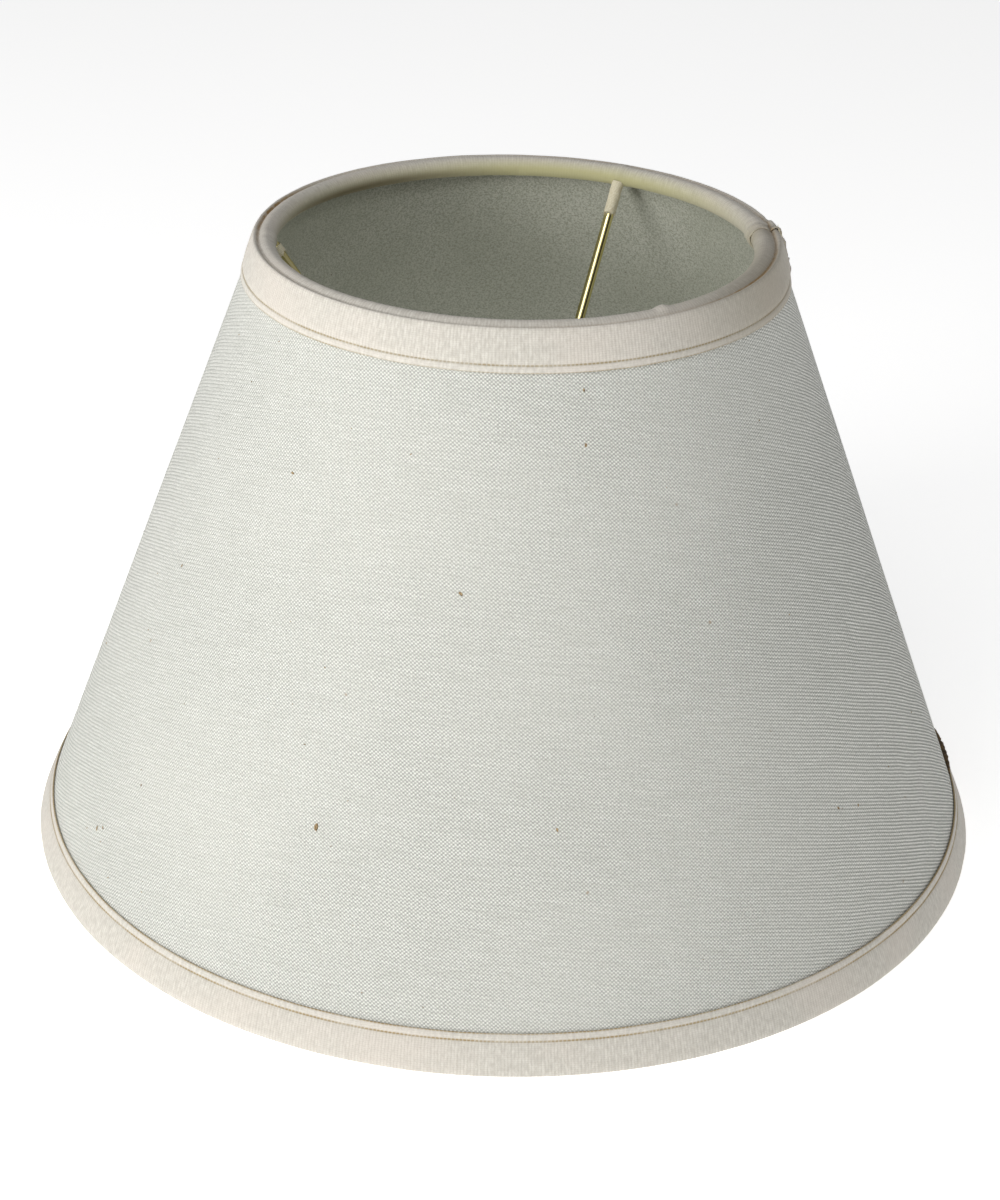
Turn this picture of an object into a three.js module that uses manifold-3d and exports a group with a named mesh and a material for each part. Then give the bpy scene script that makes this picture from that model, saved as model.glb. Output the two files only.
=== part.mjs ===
// Empire lamp shade, hardback type: a linen cover laminated to a stiff liner, a wire ring in each
// rim, a folded tape over each ring, and a recessed slip fitter held by three wire arms.
// Millimetres, +Z up. The origin is the centre of the circle that the shade stands on, and the
// front of the shade faces -Y.
//
// Angles round the shade are measured from the back (+Y) towards +X, in degrees.
// On the wall, "up" runs along the slope from the bottom edge to the top edge and "out" stands
// square to the slope, measured from the line midway between the cover and the liner.

import * as THREE from 'three';
import { mergeVertices } from 'three/addons/utils/BufferGeometryUtils.js';
import Module from 'manifold-3d';

const wasm = await Module();
wasm.setup();

// ---- driving dimensions ----------------------------------------------------------------------

const BOTTOM_DIAMETER = 304.8; // over the bottom tape
const TOP_DIAMETER = 159.2; // over the top tape, at the top edge of the wall
const HEIGHT = 197; // over both tapes

const GLUE_GAP = 0.3; // clearance between neighbouring pieces
const RING_WIRE_DIAMETER = 4;
const TAPE_THICKNESS = 0.9; // two plies
const TAPE_WIDTH = 11.4; // how far each tape reaches up or down the outside of the wall
const COVER_THICKNESS = 0.6;
const LINER_THICKNESS = 0.6;
const BOTTOM_EDGE_HEIGHT = 1.5; // height of the lower tape's outer corner
const TOP_EDGE_DROP = 1.7; // from the top of the shade to the upper tape's outer corner
const SHOULDER_RISE = 1.1; // the upper tape's rounded edge above that corner, up the slope
const CORNER_ROUND = 1; // the lower tape's outer corner, on the flat that the shade stands on
const WALL_TOP_DROP = 0.7; // from the top wire's centre down the slope to the end of the wall

const SEAM_ANGLE = 77.5; // where the cover's ends lap
const LAP_WIDTH = 10;
const LAP_RISE = 0.5; // how far the lap stands above the cover
const LAP_END_MARGIN = 0.9; // the lap stops this far short of the ends of the cover

const FITTER_DROP = 69; // top of the shade to the underside of the fitter ring
const FITTER_BORE = 33.3; // slips over a threaded socket
const FITTER_DIAMETER = 46;
const FITTER_THICKNESS = 1.6;
const FITTER_LIP_HEIGHT = 3.6; // over all, with the flange
const FITTER_LIP_THICKNESS = 1.5;

const ARM_DIAMETER = 3;
const ARM_COUNT = 3;
const FIRST_ARM_ANGLE = 26.5;
const ARM_BEND_RADIUS = 9; // at the elbow, on the arm's centre line
const ARM_ROOT_RISE = 0.9; // how far above the top wire's centre an arm's line passes, square to it
const ARM_NOTCH_CLEARANCE = 0.4; // round each arm where it passes through the top tape
const SLEEVE_LENGTH = 10;
const SLEEVE_WALL = 0.5;

// ---- facet counts ----------------------------------------------------------------------------

const SHADE_FACETS = 72;
const FITTER_FACETS = 48;
const SLEEVE_FACETS = 16;
const ARM_SIDES = 12;
const ARM_STEPS = 26;
const ROLL_STEP = 30; // degrees between the corners of a tape's rolled edge
const WIRE_SIDES = 10;

// ---- sizes worked out from those ---------------------------------------------------------------

const rad = THREE.MathUtils.degToRad;
const wireRadius = RING_WIRE_DIAMETER / 2;
const rollInside = wireRadius + GLUE_GAP; // centre of a wire to the inner face of its tape
const rollOutside = rollInside + TAPE_THICKNESS;

// Distances out from the line midway between the cover and the liner.
const coverInside = GLUE_GAP / 2;
const coverOutside = coverInside + COVER_THICKNESS;
const linerOutside = -GLUE_GAP / 2;
const linerInside = linerOutside - LINER_THICKNESS;
const tapeInside = coverOutside + GLUE_GAP;
const tapeOutside = tapeInside + TAPE_THICKNESS;
const wireOut = linerInside - GLUE_GAP - wireRadius;

// The outer face of both tapes lies on one cone, through these two edges (r, z).
const bottomEdge = new THREE.Vector2(BOTTOM_DIAMETER / 2, BOTTOM_EDGE_HEIGHT);
const topEdge = new THREE.Vector2(TOP_DIAMETER / 2, HEIGHT - TOP_EDGE_DROP);
const slopeLength = topEdge.distanceTo(bottomEdge);
const up = topEdge.clone().sub(bottomEdge).normalize();
const out = new THREE.Vector2(up.y, -up.x);
const foot = bottomEdge.clone().addScaledVector(out, -tapeOutside);

// ---- helpers -----------------------------------------------------------------------------------

// A point (r, z) of the section, from a distance up the slope and a distance out from it.
const onWall = (along, outward) =>
  foot.clone().addScaledVector(up, along).addScaledVector(out, outward);

// The distance up the slope at which a line a given distance out reaches a height.
const alongAt = (height, outward) => (height - foot.y - out.y * outward) / up.y;

// A point (r, z) at an angle round a wire's centre, 0 being away from the shade's axis.
const roundWire = (wire, radius, angle) =>
  new THREE.Vector2(Math.cos(rad(angle)), Math.sin(rad(angle))).multiplyScalar(radius).add(wire);

// A closed ring about the Z axis from the corners (r, z) of its section.
function ringOf(corners, facets) {
  const ordered = THREE.ShapeUtils.area(corners) < 0 ? [...corners].reverse() : corners;
  return new THREE.LatheGeometry([...ordered, ordered[0]], facets).rotateX(Math.PI / 2);
}

function toSolid(geometry) {
  const bare = geometry.clone();
  bare.deleteAttribute('normal');
  bare.deleteAttribute('uv');
  const merged = mergeVertices(bare, 1e-4);
  const vertProperties = new Float32Array(merged.attributes.position.array);
  const triVerts = new Uint32Array(merged.index.array);
  return new wasm.Manifold(new wasm.Mesh({ numProp: 3, vertProperties, triVerts }));
}

function toGeometry(solid) {
  const mesh = solid.getMesh();
  const geometry = new THREE.BufferGeometry();
  geometry.setAttribute('position', new THREE.BufferAttribute(mesh.vertProperties, 3));
  geometry.setIndex(new THREE.BufferAttribute(mesh.triVerts, 1));
  return geometry;
}

// The point on a ring of radius r at a height z and an angle round the shade.
const roundShade = (angle, r, z) =>
  new THREE.Vector3(Math.sin(rad(angle)) * r, Math.cos(rad(angle)) * r, z);

// A block on the wall at the seam: it spans the given lengths up the slope and distances out.
function seamBlock(width, alongFrom, alongTo, outFrom, outTo) {
  const middle = onWall((alongFrom + alongTo) / 2, (outFrom + outTo) / 2);
  const frame = new THREE.Matrix4().makeBasis(
    roundShade(SEAM_ANGLE - 90, 1, 0),
    roundShade(SEAM_ANGLE, up.x, up.y),
    roundShade(SEAM_ANGLE, out.x, out.y),
  );
  frame.setPosition(roundShade(SEAM_ANGLE, middle.x, middle.y));
  return new THREE.BoxGeometry(width, alongTo - alongFrom, outTo - outFrom).applyMatrix4(frame);
}

const material = (color, roughness, metalness) =>
  new THREE.MeshStandardMaterial({ color, roughness, metalness });

const linen = material(0xd9d8d0, 0.95, 0);
const tape = material(0xdcd8cc, 0.95, 0);
const styrene = material(0x8f9286, 0.6, 0);
const sleeveCoat = material(0xe6dfc6, 0.8, 0);
const brass = material(0xb08d3e, 0.3, 1);
const steel = material(0x9a9a98, 0.4, 1);

const shade = new THREE.Group();

function add(name, geometry, finish, parent = shade) {
  const mesh = new THREE.Mesh(geometry, finish);
  mesh.name = name;
  parent.add(mesh);
}

// ---- rings ---------------------------------------------------------------------------------------

// Each wire lies against the inside of the liner, as near the rim as its tape lets it.
const bottomWireAlong = alongAt(rollOutside, wireOut);
const topWireAlong = alongAt(HEIGHT - rollOutside, wireOut);
const bottomWire = onWall(bottomWireAlong, wireOut);
const topWire = onWall(topWireAlong, wireOut);

// The corners of a round section about a wire's centre.
const ringSection = (wire, radius) =>
  Array.from({ length: WIRE_SIDES }, (_, i) => roundWire(wire, radius, (i * 360) / WIRE_SIDES));

add('bottom_ring', ringOf(ringSection(bottomWire, wireRadius), SHADE_FACETS), steel);
add('top_ring', ringOf(ringSection(topWire, wireRadius), SHADE_FACETS), steel);

// ---- wall ----------------------------------------------------------------------------------------

const wallStart = alongAt(TAPE_THICKNESS + GLUE_GAP, linerInside);
const wallEnd = topWireAlong - WALL_TOP_DROP;

function skin(inside, outside) {
  const corners = [
    onWall(wallStart, inside),
    onWall(wallStart, outside),
    onWall(wallEnd, outside),
    onWall(wallEnd, inside),
  ];
  return ringOf(corners, SHADE_FACETS);
}

// The lap is a raised strip down the whole cover, sunk halfway into it.
const lapStart = wallStart + LAP_END_MARGIN;
const lapEnd = wallEnd - LAP_END_MARGIN;
const lapOutside = coverOutside + LAP_RISE;

function lappedCover() {
  const lapInside = coverOutside - COVER_THICKNESS / 2;
  const lap = seamBlock(LAP_WIDTH, lapStart, lapEnd, lapInside, lapOutside);
  return toGeometry(toSolid(skin(coverInside, coverOutside)).add(toSolid(lap)));
}

add('cover', lappedCover(), linen);
add('liner', skin(linerInside, linerOutside), styrene);

// ---- rim tapes -----------------------------------------------------------------------------------

// Each tape runs along the outside of the cover, round the end of the wall, and round the wire to
// the inside of the liner. The rolled part has a twelve-sided section with flats above and below.
const flatCorner = 1 / Math.cos(rad(ROLL_STEP / 2));
const rollFace = linerInside - GLUE_GAP; // where a roll ends against the liner
const rollReach = (radius) => Math.sqrt(radius * radius - (rollFace - wireOut) ** 2);

// The corners of a roll of a given radius, anticlockwise from one angle to another.
function rollCorners(wire, radius, from, to) {
  const corners = [];
  for (let angle = from; angle <= to; angle += ROLL_STEP) {
    corners.push(roundWire(wire, radius * flatCorner, angle));
  }
  return corners;
}

function topTapeSection() {
  const underCrease = topWireAlong - WALL_TOP_DROP + GLUE_GAP;
  const creaseOut = wireOut + Math.sqrt(rollInside ** 2 - (underCrease - topWireAlong) ** 2);
  return [
    onWall(slopeLength - TAPE_WIDTH, tapeOutside),
    onWall(slopeLength, tapeOutside),
    onWall(slopeLength + SHOULDER_RISE * 0.7, tapeOutside - TAPE_THICKNESS * 0.3),
    onWall(slopeLength + SHOULDER_RISE, tapeInside),
    onWall(underCrease + TAPE_THICKNESS, coverInside),
    ...rollCorners(topWire, rollOutside, 45, 315),
    onWall(topWireAlong - rollReach(rollOutside), rollFace),
    onWall(topWireAlong - rollReach(rollInside), rollFace),
    ...rollCorners(topWire, rollInside, 45, 315).reverse(),
    onWall(underCrease, creaseOut),
    onWall(underCrease, tapeInside),
    onWall(slopeLength - TAPE_WIDTH, tapeInside),
  ];
}

function bottomTapeSection() {
  return [
    onWall(TAPE_WIDTH, tapeOutside),
    bottomEdge,
    bottomEdge.clone().sub(new THREE.Vector2(CORNER_ROUND * 0.3, BOTTOM_EDGE_HEIGHT * 0.7)),
    bottomEdge.clone().sub(new THREE.Vector2(CORNER_ROUND, BOTTOM_EDGE_HEIGHT)),
    ...rollCorners(bottomWire, rollOutside, 105, 255).reverse(),
    onWall(bottomWireAlong + rollReach(rollOutside), rollFace),
    onWall(bottomWireAlong + rollReach(rollInside), rollFace),
    ...rollCorners(bottomWire, rollInside, 75, 255),
    onWall(alongAt(TAPE_THICKNESS, tapeInside), tapeInside),
    onWall(TAPE_WIDTH, tapeInside),
  ];
}

// A hollow in the inner face of each tape clears the lap by the same gap as the rest.
function clearOfLap(section) {
  const width = LAP_WIDTH + 2 * GLUE_GAP;
  const hollow = seamBlock(
    width, lapStart - GLUE_GAP, lapEnd + GLUE_GAP, coverOutside, lapOutside + GLUE_GAP,
  );
  return toSolid(ringOf(section, SHADE_FACETS)).subtract(toSolid(hollow));
}

// ---- arms ----------------------------------------------------------------------------------------

// In the plane of one arm, with x away from the shade's axis and z up, an arm starts against the
// top wire, runs straight down to an elbow, and ends flat on the fitter's flange.
const armRadius = ARM_DIAMETER / 2;
const fitterBottom = HEIGHT - FITTER_DROP;
const flangeTop = fitterBottom + FITTER_THICKNESS;
const armEndHeight = flangeTop + GLUE_GAP + armRadius;
const armEndRadius = FITTER_BORE / 2 + FITTER_LIP_THICKNESS + 2 * GLUE_GAP;
const elbow = new THREE.Vector2(FITTER_DIAMETER / 2 + ARM_BEND_RADIUS, armEndHeight);
const toWire = topWire.clone().sub(elbow);
const armPitch = toWire.angle() + Math.asin(ARM_ROOT_RISE / toWire.length());
const armUp = new THREE.Vector2(Math.cos(armPitch), Math.sin(armPitch));
const armAbreast = elbow.clone().addScaledVector(armUp, toWire.dot(armUp)); // beside the wire

// A point (x, z) on the arm's line, a distance down from where it passes the wire.
const downArm = (distance) => armAbreast.clone().addScaledVector(armUp, -distance);

function armPath() {
  const tangent = ARM_BEND_RADIUS * Math.tan(armPitch / 2);
  const bendStart = elbow.clone().addScaledVector(armUp, tangent);
  const bendEnd = new THREE.Vector2(elbow.x - tangent, elbow.y);
  const inPlane = (point) => new THREE.Vector3(point.x, 0, point.y);
  const path = new THREE.CurvePath();
  path.add(new THREE.LineCurve3(inPlane(downArm(rollInside / 3)), inPlane(bendStart)));
  path.add(new THREE.QuadraticBezierCurve3(inPlane(bendStart), inPlane(elbow), inPlane(bendEnd)));
  path.add(new THREE.LineCurve3(inPlane(bendEnd), new THREE.Vector3(armEndRadius, 0, armEndHeight)));
  return path;
}

// Each arm's root is hollowed to sit against the top wire.
function armWire() {
  const round = new THREE.Shape().absarc(0, 0, armRadius, 0, 2 * Math.PI);
  const rod = new THREE.ExtrudeGeometry(round, {
    curveSegments: ARM_SIDES / 2,
    steps: ARM_STEPS,
    extrudePath: armPath(),
  });
  const roomForWire = ringOf(ringSection(topWire, rollInside), SHADE_FACETS);
  return toGeometry(toSolid(rod).subtract(toSolid(roomForWire)));
}

// Turns a shape made on the Z axis, which goes down from the origin, to go down the arm's line.
function alongArm(geometry) {
  const tilt = Math.atan2(armUp.x, armUp.y);
  return geometry.rotateY(tilt).translate(armAbreast.x, 0, armAbreast.y);
}

function armNotch(angle) {
  const radius = armRadius + ARM_NOTCH_CLEARANCE;
  const length = 4 * rollOutside;
  const rod = new THREE.CylinderGeometry(radius, radius, length, ARM_SIDES).rotateX(Math.PI / 2);
  return alongArm(rod.translate(0, 0, -length / 2)).rotateZ(rad(90 - angle));
}

// Each sleeve starts just outside the tape's roll.
const sleeveInside = (armRadius + GLUE_GAP) / Math.cos(Math.PI / SLEEVE_FACETS);
const sleeveOutside = sleeveInside + SLEEVE_WALL;
const sleeveStart = rollOutside * flatCorner + GLUE_GAP;

function sleeve() {
  const top = -sleeveStart;
  const bottom = top - SLEEVE_LENGTH;
  const corners = [
    new THREE.Vector2(sleeveInside, bottom),
    new THREE.Vector2(sleeveOutside, bottom),
    new THREE.Vector2(sleeveOutside, top),
    new THREE.Vector2(sleeveInside, top),
  ];
  return alongArm(ringOf(corners, SLEEVE_FACETS));
}

const armAngles = Array.from(
  { length: ARM_COUNT }, (_, i) => FIRST_ARM_ANGLE + (i * 360) / ARM_COUNT,
);

let topTape = clearOfLap(topTapeSection());
armAngles.forEach((angle, i) => {
  topTape = topTape.subtract(toSolid(armNotch(angle)));
  const spoke = new THREE.Group();
  spoke.rotation.z = rad(90 - angle);
  shade.add(spoke);
  add(`arm_${i + 1}`, armWire(), brass, spoke);
  add(`arm_sleeve_${i + 1}`, sleeve(), sleeveCoat, spoke);
});

add('top_tape', toGeometry(topTape), tape);
add('bottom_tape', toGeometry(clearOfLap(bottomTapeSection())), tape);

// ---- fitter --------------------------------------------------------------------------------------

function fitterRing() {
  const bore = FITTER_BORE / 2;
  const corners = [
    [bore, 0],
    [FITTER_DIAMETER / 2, 0],
    [FITTER_DIAMETER / 2, FITTER_THICKNESS],
    [bore + FITTER_LIP_THICKNESS, FITTER_THICKNESS],
    [bore + FITTER_LIP_THICKNESS, FITTER_LIP_HEIGHT],
    [bore, FITTER_LIP_HEIGHT],
  ];
  return ringOf(corners.map(([r, z]) => new THREE.Vector2(r, fitterBottom + z)), FITTER_FACETS);
}

add('fitter_ring', fitterRing(), brass);

export default shade;
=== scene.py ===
"""An empire lamp shade: linen on a stiff liner, folded tape on both rims, a slip fitter inside.

Every size is in metres unless a name ends in _mm. Angles round the shade are in degrees, from
the back (+Y) towards +X, so that the front is at 180. On the wall, "along" runs up the slope
from the bottom edge and "out" stands square to it, both in millimetres, as in the part.
"""

import math
import random

import bmesh
import bpy
from mathutils import Matrix, Vector, noise


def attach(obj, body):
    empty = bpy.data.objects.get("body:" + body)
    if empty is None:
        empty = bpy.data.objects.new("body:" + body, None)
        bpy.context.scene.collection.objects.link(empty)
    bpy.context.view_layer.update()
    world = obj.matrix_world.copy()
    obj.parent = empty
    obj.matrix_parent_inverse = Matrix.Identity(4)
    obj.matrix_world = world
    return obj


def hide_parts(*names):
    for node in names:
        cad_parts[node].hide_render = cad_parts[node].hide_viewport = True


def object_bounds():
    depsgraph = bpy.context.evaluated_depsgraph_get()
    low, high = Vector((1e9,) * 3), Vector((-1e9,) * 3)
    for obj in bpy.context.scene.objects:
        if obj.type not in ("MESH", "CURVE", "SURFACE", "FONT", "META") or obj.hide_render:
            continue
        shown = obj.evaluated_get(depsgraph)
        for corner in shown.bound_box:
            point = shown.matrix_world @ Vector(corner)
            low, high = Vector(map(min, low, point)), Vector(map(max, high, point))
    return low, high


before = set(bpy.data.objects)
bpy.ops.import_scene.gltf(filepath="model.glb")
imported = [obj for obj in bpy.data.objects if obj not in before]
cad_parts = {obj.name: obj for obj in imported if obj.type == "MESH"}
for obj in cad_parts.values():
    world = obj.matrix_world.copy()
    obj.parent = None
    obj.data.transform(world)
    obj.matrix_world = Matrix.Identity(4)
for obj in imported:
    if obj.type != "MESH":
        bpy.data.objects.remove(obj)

cad_low, cad_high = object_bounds()
MM = 0.001

# ---- sizes -------------------------------------------------------------------------------------

BOTTOM_RADIUS_MM = cad_high.x / MM
HEIGHT_MM = cad_high.z / MM
TOP_RADIUS_MM = 79.6
BOTTOM_EDGE_MM = 1.5  # height of the lower tape's outer corner
TOP_EDGE_MM = HEIGHT_MM - 1.7
TAPE_FACE_MM = 1.95  # out to the face of both tapes
COVER_FACE_MM = 0.75
LINER_FACE_MM = -0.15
SKIN_MM = 0.6  # thickness of the cover, and of the liner
WALL_START_MM = 0.5
WALL_END_MM = 206.6
WIRE_OUT_MM = -3.05  # centre of both ring wires
ROLL_MM = 3.2  # outside of a tape's roll round its wire
TAPE_CLOTH_MM = 0.5
TAPE_REACH_MM = 11.4  # up or down the outside of the wall
HEM_MM = 2.3  # width of the turned-in hem
MEAN_RADIUS_MM = 115  # of the wall, halfway up

SEAM_ANGLE = 77.5
COVER_LAP_MM = 10
COVER_LAP_RISE_MM = 0.62
TOP_TAPE_JOIN = 79.5
BOTTOM_TAPE_JOIN = 62
TOP_TAPE_LAP_MM = 7
BOTTOM_TAPE_LAP_MM = 8
TAPE_LAP_RISE_MM = 0.55
CRUMPLE_MM = 0.9  # how far a tape's folded end is crumpled in and out

ARM_ANGLES = (26.5, 146.5, 266.5)
ARM_MM = 1.5
ARM_ASIDE_MM = 0.9  # from an arm's line to the ring wire's centre
ARM_SHORT_MM = 0.9  # from an arm's end to its nearest point to that centre
SLEEVE_MM = (10.9, 9.6, 3.0)  # lengths; the last one is a worn remnant
SLEEVE_START_MM = 2.7
SLEEVE_WALL_MM = 0.42
FITTER_DROP_MM = 69  # from the top rim to the fitter's underside
FITTER_BORE_MM = 16.65
FITTER_MM = 23


def turned(angle, radius_mm, height_mm):
    """The point at an angle round the shade."""
    a = math.radians(angle)
    return Vector((math.sin(a) * radius_mm, math.cos(a) * radius_mm, height_mm)) * MM


bottom_edge = Vector((BOTTOM_RADIUS_MM, BOTTOM_EDGE_MM))
top_edge = Vector((TOP_RADIUS_MM, TOP_EDGE_MM))
SLOPE_MM = (top_edge - bottom_edge).length
up = (top_edge - bottom_edge).normalized()
outward = Vector((up.y, -up.x))
foot = bottom_edge - outward * TAPE_FACE_MM


def on_wall(along, out):
    """A point (radius, height) of the section, in millimetres."""
    return foot + up * along + outward * out


def along_at(height, out):
    """How far up the slope a line at "out" from the wall reaches a height."""
    return (height - foot.y - outward.y * out) / up.y


bottom_wire = on_wall(along_at(ROLL_MM, WIRE_OUT_MM), WIRE_OUT_MM)
top_wire = on_wall(along_at(HEIGHT_MM - ROLL_MM, WIRE_OUT_MM), WIRE_OUT_MM)


# ---- shader expressions ------------------------------------------------------------------------

class Signal:
    """One socket's output. Sums and products of signals add their Math nodes."""

    def __init__(self, finish, socket):
        self.finish, self.socket = finish, socket

    def math(self, operation, *others):
        return self.finish.node("Math", {"operation": operation}, dict(enumerate((self, *others))))

    def __add__(self, other):
        return self.math("ADD", other)

    def __sub__(self, other):
        return self.math("SUBTRACT", other)

    def __rsub__(self, other):
        return self.finish.node("Math", {"operation": "SUBTRACT"}, {0: other, 1: self})

    def __mul__(self, other):
        return self.math("MULTIPLY", other)

    def __truediv__(self, other):
        return self.math("DIVIDE", other)

    def __pow__(self, other):
        return self.math("POWER", other)

    def __abs__(self):
        return self.math("ABSOLUTE")

    __radd__ = __add__
    __rmul__ = __mul__

    def wave(self):
        """The sine of half turns, so that it crosses nought at every whole number."""
        return (self * math.pi).math("SINE")

    def step(self, low, high):
        """Nought below low and one above high, with a smooth rise between."""
        ends = {"Value": self, "From Min": low, "From Max": high}
        return self.finish.node("MapRange", {"interpolation_type": "SMOOTHSTEP"}, ends)

    def near(self, centre, width):
        """One at a centre, falling smoothly to nought at a distance of width."""
        return 1 - abs(self - centre).step(0, width)


class Finish:
    """A material, with its Principled shader's fixed values set on its own sockets."""

    def __init__(self, name, **fixed):
        self.material = bpy.data.materials.new(name)
        self.material.use_nodes = True
        self.tree = self.material.node_tree
        self.shader = self.tree.nodes["Principled BSDF"]
        for socket, value in fixed.items():
            self.shader.inputs[socket.replace("_", " ")].default_value = value

    def node(self, kind, settings=None, values=None, output=0):
        """Adds a node, and gives the signal of one of its outputs."""
        made = self.tree.nodes.new("ShaderNode" + kind)
        for setting, value in (settings or {}).items():
            setattr(made, setting, value)
        for name, value in (values or {}).items():
            if isinstance(value, Signal):
                self.tree.links.new(value.socket, made.inputs[name])
            else:
                made.inputs[name].default_value = value
        return Signal(self, made.outputs[output])

    def feed(self, socket, signal):
        """Drives one of the Principled shader's sockets."""
        self.tree.links.new(signal.socket, self.shader.inputs[socket])

    def chart(self):
        """The distances across and along a piece's flat pattern, in metres."""
        return self.axes(self.node("UVMap", {"uv_map": "flat"}))[:2]

    def place(self):
        """The piece's own coordinates, which are the shade's, in metres."""
        return self.node("TexCoord", output="Object")

    def axes(self, vector):
        """The three numbers of a vector, or of a colour."""
        first = self.node("SeparateXYZ", values={0: vector})
        return [Signal(self, socket) for socket in first.socket.node.outputs]

    def vector(self, x, y):
        """A place on a flat pattern, from its two distances."""
        return self.node("CombineXYZ", values={0: x, 1: y})

    def cloud(self, vector, scale, detail=2.0, roughness=0.5):
        """Soft noise, from about 0.25 to 0.75."""
        looks = {"Vector": vector, "Scale": scale, "Detail": detail, "Roughness": roughness}
        return self.node("TexNoise", values=looks)

    def blend(self, share, first, second):
        """A colour between two, by a share."""
        return self.node("Mix", {"data_type": "RGBA"}, {0: share, 6: first, 7: second}, output=2)

    def raise_by(self, height, distance, strength):
        """Bumps the surface by a height from nought to one, times a distance in metres."""
        looks = {"Height": height, "Distance": distance, "Strength": strength}
        self.feed("Normal", self.node("Bump", values=looks))


def paint(red, green, blue):
    """A colour from its display values, 0 to 255."""
    def light(value):
        value /= 255
        return value / 12.92 if value <= 0.04045 else ((value + 0.055) / 1.055) ** 2.4
    return (light(red), light(green), light(blue), 1)


# ---- finishes ----------------------------------------------------------------------------------

WEFT_PITCH = 0.525 * MM
WARP_PITCH = 0.5825 * MM
WEFT_SQUARE = math.radians(94.8)  # direction square to the weft on the cover's flat pattern
WARP_SQUARE = math.radians(176.7)
RIB_PITCH = 0.95 * MM  # of the tapes, along their length
PICK_PITCH = 0.6 * MM  # of the tapes, across them
STITCH_PITCH = 1.15 * MM
SLEEVE_PITCH = 0.5 * MM  # of the fibre wound round a sleeve
SLEEVE_TWIST = 4.2 * MM


def linen_finish():
    """Plain weave with slubs, laid on the cover's flat pattern, with a few brown flecks."""
    cloth = Finish("linen", Roughness=0.9, Sheen_Weight=0.12, Sheen_Roughness=0.5)
    x, y = cloth.chart()
    flat = cloth.vector(x, y)
    wander = (cloth.cloud(flat, 35) - 0.5) * 2.4
    weft = (x * math.cos(WEFT_SQUARE) + y * math.sin(WEFT_SQUARE)) / WEFT_PITCH + wander
    drift = (cloth.cloud(flat, 28, detail=1) - 0.5) * 2
    warp = (x * math.cos(WARP_SQUARE) + y * math.sin(WARP_SQUARE)) / WARP_PITCH + drift

    def yarn(across, along, shift):
        """How thick and light each yarn is, changing slowly along it."""
        lane = across.math("FLOOR") * 5.37 + shift
        return cloth.cloud(cloth.vector(lane, along * 0.05), 1, detail=3)

    weft_yarn = yarn(weft, warp, 0.5)
    warp_yarn = yarn(warp, weft, 71.5)
    crossing = weft.wave() * warp.wave()
    weft_over = crossing.step(-0.35, 0.35)
    pillow = abs(crossing) ** 0.5
    pair = (weft * 0.5 + (weft_yarn - 0.5) * 0.25).wave()
    row = pair * pair
    slub = cloth.node("Mix", values={0: weft_over, 2: warp_yarn, 3: weft_yarn})

    pale = cloth.blend(slub.step(0.32, 0.68), paint(220, 220, 213), paint(237, 237, 231))
    # Painted shade: the weft rows get more contrast where the cloth lies off its grain, most of
    # all towards the seam, standing for light raking across them; their bump is raised there too.
    side_shading = (0 - x).step(0.03, 0.16) + x.step(0.05, 0.18) * 0.35
    ribbed = 0.12 + side_shading * 0.5
    lit = (pillow * 0.3 + weft_over * 0.7) * (1 - ribbed) + row * ribbed
    broken = lit + (cloth.cloud(flat, 1400, detail=2) - 0.5) * 0.9
    woven = cloth.blend(broken.step(side_shading * 0.25 - 0.05, 1.05 - side_shading * 0.15),
                        paint(157, 159, 152), pale)
    patch = cloth.cloud(cloth.place(), 14, detail=3)
    toned = cloth.blend(patch.step(0.35, 0.7) * 0.2, woven, paint(218, 217, 209))
    cells = {"Vector": flat, "Scale": 85.0}
    reach = cloth.node("TexVoronoi", values=cells)
    chosen = cloth.node("TexVoronoi", values=cells, output="Color")
    fleck = (1 - reach.step(0.02, 0.06)) * cloth.axes(chosen)[0].step(0.86, 0.88)
    cloth.feed("Base Color", cloth.blend(fleck * 0.6, toned, paint(150, 122, 84)))
    relief = (pillow * 0.3 + weft_over * (0.4 - side_shading * 0.25) + row * (0.2 + side_shading * 1.4)
              + slub * 0.35)
    cloth.raise_by(relief, 0.22 * MM, 0.85)
    return cloth.material


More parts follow.
